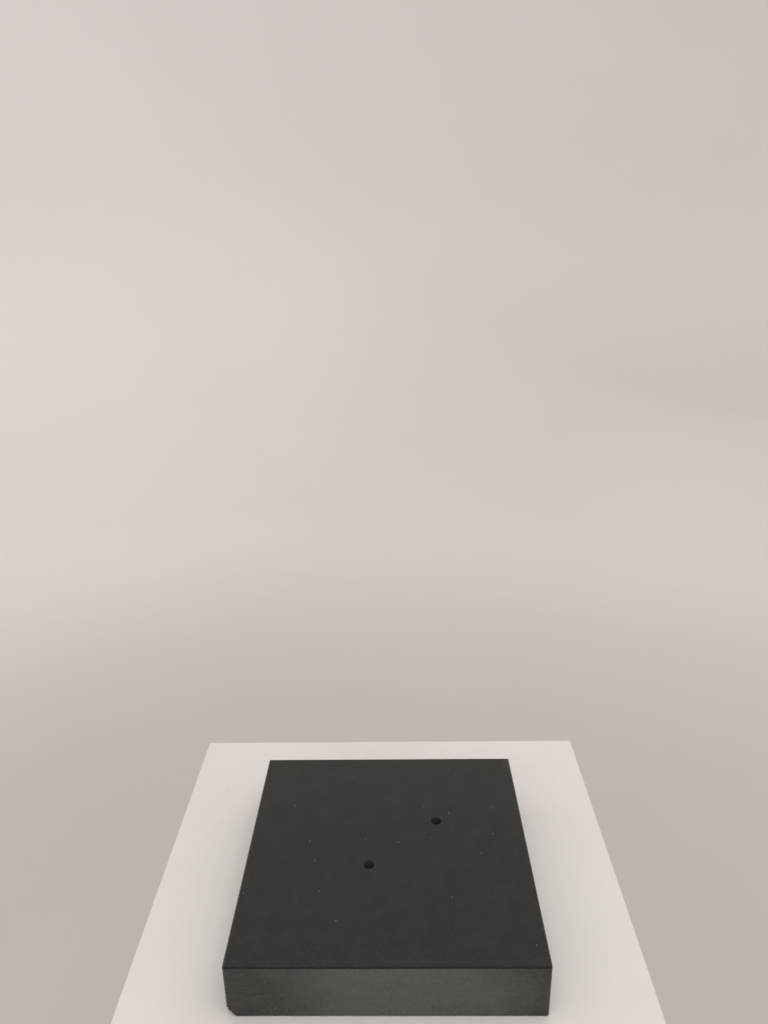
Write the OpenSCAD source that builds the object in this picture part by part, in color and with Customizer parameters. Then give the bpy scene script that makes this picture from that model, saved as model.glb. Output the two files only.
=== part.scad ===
// Display plinth: a white painted box of mitred board on a timber carcass, with levelling feet,
// a locking access door at the back, sandbag ballast and a polished black stone slab on top.
// Frame: +Z up, front towards -Y, origin on the floor under the middle of the box. Millimetres.

/* [Painted box] */
// Width of the box, left to right
plinth_w = 600; // [560:10:680]
// Depth of the box, front to back
plinth_d = 600; // [560:10:680]
// Height of the box's top above the floor
plinth_h = 750; // [720:10:1100]
// Thickness of the painted board
board_t = 18; // [18:1:22]
// Gap between the floor and the bottom edges of the box
floor_gap = 10; // [6:1:14]
// Radius sanded on the painted outer edges
arris_r = 1; // [0.6:0.1:1.6]

/* [Stone slab] */
// Width of the slab, left to right
slab_w = 351; // [320:1:400]
// Depth of the slab, front to back
slab_d = 342; // [320:1:400]
// Thickness of the slab
slab_t = 71.5; // [60:0.5:90]
// How far the slab stands forward of the middle of the box
slab_forward = 7; // [0:1:20]
// How far the slab stands to the right of the middle of the box
slab_right = 1; // [-5:1:5]
// Flat ground on the top edges of the slab
slab_arris = 1.6; // [0.8:0.1:2]
// Radius of the slab's upright edges
slab_corner_r = 3; // [2:0.5:5]
// Radius of the two holes for the studs of the sculpture
stud_hole_r = 6.75; // [5.5:0.25:8]
// Depth of the recess for the nut under each stud hole
nut_recess_depth = 25; // [20:1:30]

/* [Carcass] */
// Side of the square timber of the posts and the lower rails
timber = 45; // [38:1:48]
// Height of the upper rails and the bearers
beam_h = 70; // [60:5:90]
// Thickness of the plywood deck and of the plywood base
ply_t = 24; // [18:1:27]
// Height of the underside of the plywood base above the floor
base_z = 40; // [40:1:50]

/* [Access door] */
// Width of the opening in the back
opening_w = 400; // [360:10:400]
// Height of the opening in the back
opening_h = 480; // [440:10:480]
// Height of the bottom of the opening above the floor
opening_z = 130; // [126:1:150]
// Gap all round the door
door_gap = 2; // [2:0.1:2.5]
// Distance of the pivot from the hinged edge of the door
pivot_inset = 26; // [26:1:30]
// Distance of the lock from the free edge of the door
lock_inset = 33; // [30:1:40]

/* [Levelling feet] */
// Distance of each foot from the middle of the box, both ways
foot_offset = 215; // [205:1:220]
// Radius of the thread of the spindles
spindle_r = 5.9; // [5:0.1:5.9]
// Radius of the foot pads
pad_r = 25; // [20:1:30]

/* [Ballast] */
// Width of one sandbag
bag_w = 190; // [160:5:190]
// Length of one sandbag
bag_l = 420; // [360:10:420]
// Thickness of one filled sandbag
bag_h = 78; // [60:1:80]

/* [Hidden] */

WHITE = [0.86, 0.84, 0.82];
PINE = [0.80, 0.66, 0.45];
BIRCH = [0.78, 0.66, 0.47];
STONE = [0.09, 0.09, 0.085];
ZINC = [0.70, 0.71, 0.73];
CHROME = [0.80, 0.80, 0.82];
BRASS = [0.78, 0.62, 0.30];
BLACK = [0.08, 0.08, 0.08];
SACKING = [0.72, 0.68, 0.58];

// Corners and sides, each as [name, x sign, y sign].
CORNERS = [["front_left", -1, -1], ["front_right", 1, -1], ["back_left", -1, 1], ["back_right", 1, 1]];
SIDES = [["front", 0, -1], ["back", 0, 1], ["left", -1, 0], ["right", 1, 0]];

eps = 0.01;            // overlap of a cutting shape past the face that it cuts
hole_clearance = 0.1;  // radial room round a screw or bolt in its hole
hex_ratio = 1 / cos(30);

// Levels of the carcass.
base_top = base_z + ply_t;
deck_z = plinth_h - board_t - ply_t;
beam_z = deck_z - beam_h;
post_h = deck_z - base_top;

// The posts fill the corners inside the boards.
inner_w = plinth_w - 2 * board_t;
inner_d = plinth_d - 2 * board_t;
post_x = (inner_w - timber) / 2;
post_y = (inner_d - timber) / 2;
rail_w = inner_w - 2 * timber;
rail_d = inner_d - 2 * timber;
bearer_x = 90;
rail_screw_x = 170;    // distance of the screws in a rail from its middle

// Wood screws: [head radius, shank radius, length].
panel_screw = [4.5, 2.2, 55];
deck_screw = [5, 2.4, 60];
batten_screw = [3.5, 1.6, 22];
keeper_screw = [2.8, 1.2, 9];

// Heights of the screws that hold the boards to the posts: front and back boards, then side boards.
front_screw_z = [base_top + 106, deck_z - 148];
side_screw_z = [base_top + 136, deck_z - 118];

// Slab, its cushion and its fixings.
cushion_t = 0.5;
cushion_margin = 6;
slab_y = -slab_forward;
slab_z = plinth_h + cushion_t;
slab_top = slab_z + slab_t;
slab_foot_arris = 0.4;
slab_bolt_x = 130;
slab_bolt_y = 125;
bolt_r = 5;
bolt_grip = 30;        // length of bolt inside the stone
bolt_washer_t = 2.5;
anchor_r = 7.9;
anchor_h = 40;
stud_holes = [[-22, slab_y - 30], [64, slab_y + 44]];
nut_recess_r = 16;
chip_size = [10, 8, 15]; // flake missing from the front left bottom corner

// Door and its pivots.
door_w = opening_w - 2 * door_gap;
door_h = opening_h - 2 * door_gap;
door_z = opening_z + door_gap;
inner_back = plinth_d / 2 - board_t;
pivot_x = door_w / 2 - pivot_inset;
pivot_y = plinth_d / 2 - board_t / 2;
pin_r = 4;
pin_in_door = 30;
pin_in_frame = 12;
spring_room = 16;      // depth of the spring's pocket behind the upper pin
bush_r = 6;
bush_flange_r = 8.5;
bush_flange_t = 1;
bush_length = 13;
pin_running_fit = 0.06;

// Door stop.
batten_t = 12;
batten_left = -opening_w / 2 - 22;
batten_w = 34;
batten_z = opening_z - 10;
batten_h = opening_h + 20;
rebate_depth = 2;
seal_t = 1.5;

// Cam lock, on an axis along Y.
lock_x = -door_w / 2 + lock_inset;
lock_z = opening_z + opening_h / 2;
lock_body_r = 9.3;
lock_bezel_r = 11.3;
lock_bezel_t = 1.3;
lock_recess_t = 1.5;
lock_body_end = inner_back - 12;
plug_r = 6.5;
plug_shoulder = lock_body_end - 1.8;
cam_t = 2.5;
cam_front = plug_shoulder - 0.1;
cam_back = cam_front - cam_t;
cam_reach = 40;
cam_width = 12;
shank_side = 6;
cam_screw_r = 1.9;
keeper_t = 1.5;
keeper_w = 30;
keeper_h = 40;
keeper_screw_gap = 26;

// Feet.
pad_neck_r = 9;
pad_top = 16;
pad_socket_r = 5.08;
pad_socket_z = 6;
spindle_pivot_r = 5;
collar_z = 17;
collar_h = 6;
collar_af = 17;
spindle_top = base_top + 12;
insert_flange_t = 2;
insert_flange_r = 16;
insert_r = 8.5;
insert_h = 22;
insert_bore_r = spindle_r + 0.08;
lock_nut_h = 6;
lock_nut_af = 18;
bag_gap = 6;           // between the two bags of a layer

$fn = 48;

// ---------- helpers ----------

function arc(centre, r, a0, a1, steps = 5) =
    [for (i = [0:steps]) let (a = a0 + (a1 - a0) * i / steps) centre + r * [cos(a), sin(a)]];

function rounded_rectangle(w, d, r) = concat(
    arc([w / 2 - r, d / 2 - r], r, 0, 90, 6), arc([-w / 2 + r, d / 2 - r], r, 90, 180, 6),
    arc([-w / 2 + r, -d / 2 + r], r, 180, 270, 6), arc([w / 2 - r, -d / 2 + r], r, 270, 360, 6));

// Extrudes an outline drawn in (x, z) through a length centred on y = 0.
module extrude_y(length) rotate([90, 0, 0]) linear_extrude(length, center = true) children();

// Extrudes an outline drawn in (y, z) through a length centred on x = 0.
module extrude_x(length) rotate([90, 0, 90]) linear_extrude(length, center = true) children();

// A cylinder from y0 to y1 round the point (x, z).
module cylinder_y(x, z, r, y0, y1) translate([x, y1, z]) rotate([90, 0, 0]) cylinder(h = y1 - y0, r = r);

// A wood screw hanging from its flush head at the origin, with a hexagon recess. With room it is its hole.
module wood_screw(size, room = 0) {
    head_h = size[0] - size[1];
    difference() {
        union() {
            translate([0, 0, -head_h]) cylinder(h = head_h, r1 = size[1] + room, r2 = size[0] + room);
            translate([0, 0, -size[2] - room])
                cylinder(h = size[2] - head_h + room + eps, r = size[1] + room);
            if (room > 0) cylinder(h = 1, r = size[0] + room);
        }
        if (room == 0) translate([0, 0, -head_h]) cylinder(h = head_h + 1, r = size[0] * 0.45, $fn = 6);
    }
}

// A hexagon whose corners are turned off at 30 degrees at both ends.
module hexagon(across_flats, h) {
    face_r = across_flats * 0.48;
    corner_r = across_flats / 2 * hex_ratio + 0.2;
    drop = (corner_r - face_r) * tan(30);
    intersection() {
        cylinder(h = h, r = across_flats / 2 * hex_ratio, $fn = 6);
        rotate_extrude() polygon([
            [0, 0], [face_r, 0], [corner_r, drop], [corner_r, h - drop], [face_r, h], [0, h]]);
    }
}

module hexagon_nut(across_flats, h, bore_r) difference() {
    hexagon(across_flats, h);
    translate([0, 0, -1]) cylinder(h = h + 2, r = bore_r);
}

// Places its children at each of a list of points.
module at_each(points) for (p = points) translate(p) children();

// ---------- fixings, as lists of places shared by the screws and their holes ----------

// Screws through the posts into the boards: [position of the head, rotation].
function panel_screw_places() = concat(
    [for (c = CORNERS, z = front_screw_z)
        [[c[1] * post_x, c[2] * (post_y - timber / 2), z], [c[2] * 90, 0, 0]]],
    [for (c = CORNERS, z = side_screw_z)
        [[c[1] * (post_x - timber / 2), c[2] * post_y, z], [0, -c[1] * 90, 0]]]
);

// Points over the middle of each post and near both ends of each rail, at a height z.
function frame_places(z) = concat(
    [for (c = CORNERS) [c[1] * post_x, c[2] * post_y, z]],
    [for (s = SIDES, i = [-1, 1])
        [s[1] * post_x + abs(s[2]) * i * rail_screw_x, s[2] * post_y + abs(s[1]) * i * rail_screw_x, z]]
);

// Screws down through the deck into the posts, rails and bearers.
function deck_screw_places() = concat(
    frame_places(plinth_h - board_t),
    [for (x = [-bearer_x, bearer_x], y = [-1, 1]) [x, y * rail_screw_x, plinth_h - board_t]]
);

// Screws up through the base into the posts and lower rails.
function base_screw_places() = frame_places(base_z);

function foot_places() = [for (c = CORNERS) [c[1] * foot_offset, c[2] * foot_offset, 0]];

function slab_bolt_places() =
    [for (x = [-1, 1], y = [-1, 1]) [x * slab_bolt_x, slab_y + y * slab_bolt_y, 0]];

function batten_screw_places() =
    [for (z = [0.06, 0.36, 0.64, 0.94]) [batten_left + 11, inner_back - batten_t, batten_z + z * batten_h]];

function keeper_screw_places() = [for (s = [-0.5, 0.5])
    [batten_left + 9, inner_back - batten_t - keeper_t, lock_z + s * keeper_screw_gap]];

module panel_screw_set(room = 0)
    for (p = panel_screw_places()) translate(p[0]) rotate(p[1]) wood_screw(panel_screw, room);

module deck_screw_set(room = 0) at_each(deck_screw_places()) wood_screw(deck_screw, room);

module base_screw_set(room = 0) at_each(base_screw_places()) rotate([180, 0, 0]) wood_screw(deck_screw, room);

module batten_screw_set(room = 0)
    at_each(batten_screw_places()) rotate([90, 0, 0]) wood_screw(batten_screw, room);

module keeper_screw_set(room = 0)
    at_each(keeper_screw_places()) rotate([90, 0, 0]) wood_screw(keeper_screw, room);

// ---------- painted box ----------

// A mitred board standing at y = -half, its ends and its top cut at 45 degrees to meet the next boards.
module wall_board(w, half) {
    r = arris_r;
    plan = concat(
        [[-w / 2 + board_t, -half + board_t]],
        arc([-w / 2 + r, -half + r], r, 225, 270),
        arc([w / 2 - r, -half + r], r, 270, 315),
        [[w / 2 - board_t, -half + board_t]]);
    section = concat(
        [[-half + board_t, floor_gap], [-half, floor_gap]],
        arc([-half + r, plinth_h - r], r, 180, 135),
        [[-half + board_t, plinth_h - board_t]]);
    intersection() {
        linear_extrude(plinth_h) polygon(plan);
        extrude_x(w) polygon(section);
    }
}

module front_panel() color(WHITE) difference() {
    wall_board(plinth_w, plinth_d / 2);
    panel_screw_set(hole_clearance);
}

module side_panel(side) color(WHITE) difference() {
    rotate([0, 0, side * 90]) wall_board(plinth_d, plinth_w / 2);
    panel_screw_set(hole_clearance);
}

module back_panel() color(WHITE) difference() {
    rotate([0, 0, 180]) wall_board(plinth_w, plinth_d / 2);
    translate([-opening_w / 2, inner_back - 1, opening_z]) cube([opening_w, board_t + 2, opening_h]);
    for (z = [opening_z - bush_length - 1, opening_z + opening_h - eps])
        translate([pivot_x, pivot_y, z]) cylinder(h = bush_length + 1 + eps, r = bush_r + 0.05);
    panel_screw_set(hole_clearance);
    batten_screw_set(hole_clearance);
}

module top_panel() color(WHITE) difference() {
    r = arris_r;
    top = plinth_h - r;
    half_w = plinth_w / 2;
    half_d = plinth_d / 2;
    intersection() {
        extrude_y(plinth_d) polygon(concat(
            [[-half_w + board_t, plinth_h - board_t]],
            arc([-half_w + r, top], r, 135, 90), arc([half_w - r, top], r, 90, 45),
            [[half_w - board_t, plinth_h - board_t]]));
        extrude_x(plinth_w) polygon(concat(
            [[-half_d + board_t, plinth_h - board_t]],
            arc([-half_d + r, top], r, 135, 90), arc([half_d - r, top], r, 90, 45),
            [[half_d - board_t, plinth_h - board_t]]));
        linear_extrude(plinth_h) polygon(rounded_rectangle(plinth_w, plinth_d, r));
    }
    at_each(slab_bolt_places()) translate([0, 0, deck_z]) cylinder(h = 100, r = bolt_r + 0.6);
}

// ---------- carcass ----------

module corner_post(corner) color(PINE) difference() {
    translate([corner[1] * post_x - timber / 2, corner[2] * post_y - timber / 2, base_top])
        cube([timber, timber, post_h]);
    panel_screw_set(hole_clearance);
    deck_screw_set(hole_clearance);
    base_screw_set(hole_clearance);
}

// A rail between two posts on one side of the box, its underside at z.
module rail(side, z, h) {
    size = side[1] == 0 ? [rail_w, timber, h] : [timber, rail_d, h];
    color(PINE) difference() {
        translate([side[1] * post_x, side[2] * post_y, z + h / 2]) cube(size, center = true);
        deck_screw_set(hole_clearance);
        base_screw_set(hole_clearance);
    }
}

module deck_bearer(side) color(PINE) difference() {
    translate([side * bearer_x - timber / 2, -rail_d / 2, beam_z]) cube([timber, rail_d, beam_h]);
    deck_screw_set(hole_clearance);
}

module deck_board() color(BIRCH) difference() {
    translate([-inner_w / 2, -inner_d / 2, deck_z]) cube([inner_w, inner_d, ply_t]);
    deck_screw_set(hole_clearance);
    at_each(slab_bolt_places()) translate([0, 0, deck_z - 1]) cylinder(h = ply_t + 2, r = bolt_r + 0.6);
}

module base_board() color(BIRCH) difference() {
    translate([-inner_w / 2, -inner_d / 2, base_z]) cube([inner_w, inner_d, ply_t]);
    base_screw_set(hole_clearance);
    at_each(foot_places()) {
        translate([0, 0, base_z - 1]) cylinder(h = insert_h + 1, r = insert_r + 0.05);
        translate([0, 0, base_z]) cylinder(h = ply_t + 1, r = spindle_r + 0.6);
    }
}

module panel_screws() color(ZINC) panel_screw_set();

module deck_screws() color(ZINC) deck_screw_set();

module base_screws() color(ZINC) base_screw_set();

// ---------- access door ----------

module access_door() color(WHITE) difference() {
    translate([-door_w / 2, inner_back, door_z]) cube([door_w, board_t, door_h]);
    translate([pivot_x, pivot_y, door_z - 1]) cylinder(h = pin_in_door + 1, r = pin_r + 0.05);
    translate([pivot_x, pivot_y, door_z + door_h - pin_in_door - spring_room])
        cylinder(h = pin_in_door + spring_room + 1, r = pin_r + 0.05);
    cylinder_y(lock_x, lock_z, lock_body_r + 0.2, inner_back - 1, plinth_d / 2 + 1);
    cylinder_y(lock_x, lock_z, lock_bezel_r + 0.2, plinth_d / 2 - lock_recess_t, plinth_d / 2 + 1);
}

module pivot_pin(z0) color(ZINC) translate([pivot_x, pivot_y, z0]) {
    length = pin_in_door + door_gap + pin_in_frame;
    translate([0, 0, 0.5]) cylinder(h = length - 1, r = pin_r);
    cylinder(h = 0.5, r1 = pin_r - 0.5, r2 = pin_r);
    translate([0, 0, length - 0.5]) cylinder(h = 0.5, r1 = pin_r, r2 = pin_r - 0.5);
}

// Pushes the upper pin out of the door, so that pressing the pin down frees the door.
module pivot_spring() color(ZINC)
    translate([pivot_x, pivot_y, door_z + door_h - pin_in_door - spring_room + 0.1])
        linear_extrude(spring_room - 0.2, twist = -4 * 360, slices = 64, $fn = 16) polygon(concat(
            [for (a = [-60:40:60]) 3.5 * [cos(a), sin(a)]], [for (a = [60:-40:-60]) 2.4 * [cos(a), sin(a)]]));

// A flanged bush pressed into the edge of the opening, its flange upwards.
module pivot_bush() difference() {
    union() {
        translate([0, 0, -bush_length]) cylinder(h = bush_length, r = bush_r);
        cylinder(h = bush_flange_t, r = bush_flange_r);
    }
    translate([0, 0, -bush_length - 1]) cylinder(h = bush_length + 3, r = pin_r + pin_running_fit);
}

module pivot_bushes() color(BRASS) {
    translate([pivot_x, pivot_y, opening_z]) pivot_bush();
    translate([pivot_x, pivot_y, opening_z + opening_h]) rotate([180, 0, 0]) pivot_bush();
}

// The door stands on this washer.
module pivot_washer() color(WHITE)
    translate([pivot_x, pivot_y, opening_z + bush_flange_t + 0.1]) difference() {
        cylinder(h = door_gap - bush_flange_t - 0.1, r = bush_flange_r - 0.5);
        translate([0, 0, -1]) cylinder(h = 3, r = pin_r + 0.1);
    }

module door_stop_batten() color(PINE) difference() {
    translate([batten_left, inner_back - batten_t, batten_z]) cube([batten_w, batten_t, batten_h]);
    translate([-door_w / 2 - 1, inner_back - rebate_depth, batten_z - 1])
        cube([batten_w, rebate_depth + 1, batten_h + 2]);
    batten_screw_set(hole_clearance);
    keeper_screw_set(hole_clearance);
}

module door_seal() color(BLACK)
    translate([-door_w / 2 + 1, inner_back - rebate_depth, door_z]) cube([8, seal_t, door_h]);

module batten_screws() color(ZINC) batten_screw_set();

module lock_housing() color(CHROME) difference() {
    union() {
        cylinder_y(lock_x, lock_z, lock_body_r, lock_body_end, plinth_d / 2 - lock_recess_t);
        cylinder_y(lock_x, lock_z, lock_bezel_r, plinth_d / 2 - lock_recess_t,
            plinth_d / 2 - lock_recess_t + lock_bezel_t);
    }
    cylinder_y(lock_x, lock_z, plug_r + 0.1, lock_body_end - 1, plinth_d / 2 + 1);
}

module lock_nut() color(ZINC) translate([lock_x, inner_back, lock_z]) rotate([90, 0, 0])
    hexagon_nut(24, 4, lock_body_r + 0.1);

module lock_plug() color(CHROME) difference() {
    union() {
        cylinder_y(lock_x, lock_z, plug_r, plug_shoulder, plinth_d / 2 - 0.4);
        translate([lock_x - shank_side / 2, cam_back + 0.1, lock_z - shank_side / 2])
            cube([shank_side, plug_shoulder - cam_back, shank_side]);
    }
    translate([lock_x - 0.8, plinth_d / 2 - 4, lock_z - 4]) cube([1.6, 5, 8]);
    cylinder_y(lock_x, lock_z, cam_screw_r + 0.1, cam_back - 1, plug_shoulder + 10);
}

// The cam hangs down when the door is unlocked and turns to point at the keeper.
module lock_cam() color(ZINC) difference() {
    translate([lock_x, cam_front, lock_z]) rotate([90, 0, 0]) linear_extrude(cam_t) difference() {
        union() {
            circle(r = 8);
            translate([-cam_width / 2, -cam_reach + cam_width / 2])
                square([cam_width, cam_reach - cam_width / 2]);
            translate([0, -cam_reach + cam_width / 2]) circle(d = cam_width);
        }
        square(shank_side + 0.2, center = true);
    }
}

module lock_cam_screw() color(ZINC) difference() {
    union() {
        cylinder_y(lock_x, lock_z, 5, cam_back - 2.6, cam_back);
        cylinder_y(lock_x, lock_z, cam_screw_r, cam_back - 1, plug_shoulder + 8);
    }
    translate([lock_x, cam_back - 1, lock_z]) rotate([90, 0, 0]) cylinder(h = 3, r = 2, $fn = 6);
}

module lock_keeper() color(ZINC) difference() {
    translate([batten_left + 2, inner_back - batten_t - keeper_t, lock_z - keeper_h / 2])
        cube([keeper_w, keeper_t, keeper_h]);
    keeper_screw_set(hole_clearance);
}

module keeper_screws() color(ZINC) keeper_screw_set();

// ---------- stone slab ----------

// The slab cut through across a width w: ground flats along its top edges, a smaller one underneath.
function slab_section(w) = [
    [-w / 2 + slab_foot_arris, 0], [w / 2 - slab_foot_arris, 0], [w / 2, slab_foot_arris],
    [w / 2, slab_t - slab_arris], [w / 2 - slab_arris, slab_t], [-w / 2 + slab_arris, slab_t],
    [-w / 2, slab_t - slab_arris], [-w / 2, slab_foot_arris]];

module stone_slab() color(STONE) difference() {
    translate([slab_right, slab_y, slab_z]) intersection() {
        linear_extrude(slab_t) polygon(rounded_rectangle(slab_w, slab_d, slab_corner_r));
        extrude_y(slab_d) polygon(slab_section(slab_w));
        extrude_x(slab_w) polygon(slab_section(slab_d));
    }
    at_each(stud_holes) {
        translate([0, 0, slab_z]) cylinder(h = slab_t + 1, r = stud_hole_r);
        translate([0, 0, slab_z - 1]) cylinder(h = nut_recess_depth + 1, r = nut_recess_r);
    }
    at_each(slab_bolt_places()) translate([0, 0, slab_z - 1]) cylinder(h = anchor_h + 3, r = anchor_r + 0.1);
    corner_flake();
}

// The wedge that a knock has broken off the slab's front left bottom corner.
module corner_flake() translate([slab_right - slab_w / 2, slab_y - slab_d / 2, slab_z]) polyhedron(
    points = [[-1, -1, -1], [chip_size[0], -1, -1], [-1, chip_size[1], -1], [-1, -1, chip_size[2]]],
    faces = [[0, 1, 2], [0, 3, 1], [0, 2, 3], [1, 3, 2]]);

module slab_cushion() color(BLACK) difference() {
    translate([slab_right - slab_w / 2 + cushion_margin, slab_y - slab_d / 2 + cushion_margin, plinth_h])
        cube([slab_w - 2 * cushion_margin, slab_d - 2 * cushion_margin, cushion_t]);
    at_each(slab_bolt_places()) translate([0, 0, plinth_h - 1]) cylinder(h = cushion_t + 2, r = anchor_r);
}

// Threaded sleeves bonded into the underside of the stone.
module slab_anchors() color(BRASS) at_each(slab_bolt_places()) translate([0, 0, slab_z]) difference() {
    cylinder(h = anchor_h, r = anchor_r);
    translate([0, 0, -1]) cylinder(h = anchor_h - 3, r = bolt_r + hole_clearance);
}

module slab_bolts() color(ZINC) at_each(slab_bolt_places()) {
    head_top = deck_z - bolt_washer_t;
    translate([0, 0, head_top - 6.4]) hexagon(17, 6.4);
    translate([0, 0, head_top - 1]) cylinder(h = slab_z + bolt_grip - head_top + 1, r = bolt_r);
}

module slab_bolt_washers() color(ZINC) at_each(slab_bolt_places())
    translate([0, 0, deck_z - bolt_washer_t]) difference() {
        cylinder(h = bolt_washer_t, r = 15);
        translate([0, 0, -1]) cylinder(h = bolt_washer_t + 2, r = bolt_r + 0.3);
    }

// ---------- levelling feet ----------

module foot_inserts() color(ZINC) at_each(foot_places()) translate([0, 0, base_z]) difference() {
    union() {
        cylinder(h = insert_h - 0.2, r = insert_r);
        translate([0, 0, -insert_flange_t]) cylinder(h = insert_flange_t, r = insert_flange_r);
    }
    translate([0, 0, -3]) cylinder(h = insert_h + 4, r = insert_bore_r);
}

module foot_lock_nuts() color(ZINC) at_each(foot_places())
    translate([0, 0, base_z - insert_flange_t - lock_nut_h])
        hexagon_nut(lock_nut_af, lock_nut_h, insert_bore_r);

module foot_pad(corner) color(BLACK) translate([corner[1] * foot_offset, corner[2] * foot_offset, 0])
    rotate_extrude() polygon([
        [0, 0], [pad_r - 1, 0], [pad_r, 1], [pad_r, 5], [pad_neck_r + 3, 9], [pad_neck_r, 12],
        [pad_neck_r, pad_top], [pad_socket_r, pad_top], [pad_socket_r, pad_socket_z], [0, pad_socket_z]]);

// Turns in the socket of its pad and climbs through the insert, driven by the collar or the top socket.
module foot_spindle(corner) color(ZINC) translate([corner[1] * foot_offset, corner[2] * foot_offset, 0])
    difference() {
        union() {
            translate([0, 0, pad_socket_z + 0.1]) cylinder(h = collar_z - pad_socket_z, r = spindle_pivot_r);
            translate([0, 0, collar_z]) hexagon(collar_af, collar_h);
            translate([0, 0, collar_z + 1]) cylinder(h = spindle_top - collar_z - 2, r = spindle_r);
            translate([0, 0, spindle_top - 1]) cylinder(h = 1, r1 = spindle_r, r2 = spindle_r - 1);
        }
        translate([0, 0, spindle_top - 8]) cylinder(h = 9, r = 3 * hex_ratio, $fn = 6);
    }

// ---------- ballast ----------

// A filled sack lying flat: full in the middle and thin round its seams.
module sandbag(side, layer) color(SACKING)
    translate([side * (bag_w + bag_gap) / 2, 0, base_top + (layer + 0.5) * bag_h]) hull() {
        cube([bag_w, bag_l, bag_h * 0.4], center = true);
        cube([bag_w - 50, bag_l - 60, bag_h], center = true);
    }

// ---------- nodes ----------

front_panel();
side_panel(-1);  // left_panel
side_panel(1);  // right_panel
back_panel();
top_panel();
deck_board();
base_board();
for (c = CORNERS) {
    corner_post(c);
    foot_pad(c);
    foot_spindle(c);
}
for (s = SIDES) {
    rail(s, beam_z, beam_h);
    rail(s, base_top, timber);
}
deck_bearer(-1);  // deck_bearer_left
deck_bearer(1);  // deck_bearer_right
panel_screws();
deck_screws();
base_screws();
access_door();
door_stop_batten();
door_seal();
batten_screws();
pivot_pin(door_z + door_h - pin_in_door);  // pivot_pin_upper
pivot_pin(opening_z - pin_in_frame);  // pivot_pin_lower
pivot_spring();
pivot_bushes();
pivot_washer();
lock_housing();
lock_nut();
lock_plug();
lock_cam();
lock_cam_screw();
lock_keeper();
keeper_screws();
stone_slab();
slab_cushion();
slab_anchors();
slab_bolts();
slab_bolt_washers();
foot_inserts();
foot_lock_nuts();
sandbag(-1, 0);  // sandbag_lower_left
sandbag(1, 0);  // sandbag_lower_right
sandbag(-1, 1);  // sandbag_upper_left
sandbag(1, 1);  // sandbag_upper_right
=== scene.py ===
"""Looks of the display plinth: materials, the polished slab, threaded fittings, sandbags, light and camera."""

import math
import random

import bmesh
import bpy
import numpy as np
from mathutils import Matrix, Vector, noise


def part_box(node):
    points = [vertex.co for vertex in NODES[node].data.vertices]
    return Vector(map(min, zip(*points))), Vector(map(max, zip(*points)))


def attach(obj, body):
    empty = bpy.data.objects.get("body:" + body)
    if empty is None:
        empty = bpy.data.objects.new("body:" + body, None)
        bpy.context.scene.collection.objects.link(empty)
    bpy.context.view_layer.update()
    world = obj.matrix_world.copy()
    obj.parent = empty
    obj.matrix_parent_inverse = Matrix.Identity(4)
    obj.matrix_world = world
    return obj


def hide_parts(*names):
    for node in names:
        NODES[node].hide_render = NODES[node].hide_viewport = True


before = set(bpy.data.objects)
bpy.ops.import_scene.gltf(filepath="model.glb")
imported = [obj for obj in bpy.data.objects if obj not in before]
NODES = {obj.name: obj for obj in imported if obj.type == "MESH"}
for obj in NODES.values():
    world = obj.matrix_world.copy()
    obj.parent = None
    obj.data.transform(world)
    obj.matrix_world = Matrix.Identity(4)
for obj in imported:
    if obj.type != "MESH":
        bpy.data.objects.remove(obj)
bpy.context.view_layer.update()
SCENE = bpy.context.scene
MM = 0.001

CORNERS = ("front_left", "front_right", "back_left", "back_right")
SLAB_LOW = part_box("stone_slab")[0]
PLINTH_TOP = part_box("top_panel")[1].z
TOP_BOARD = 18 * MM               # thickness
INNER_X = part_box("deck_board")[1].x
INNER_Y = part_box("deck_board")[1].y
WELD = 0.005 * MM                 # vertices of the CAD meshes nearer than this are one


# ---------------------------------------------------------------- shader helpers

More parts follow.
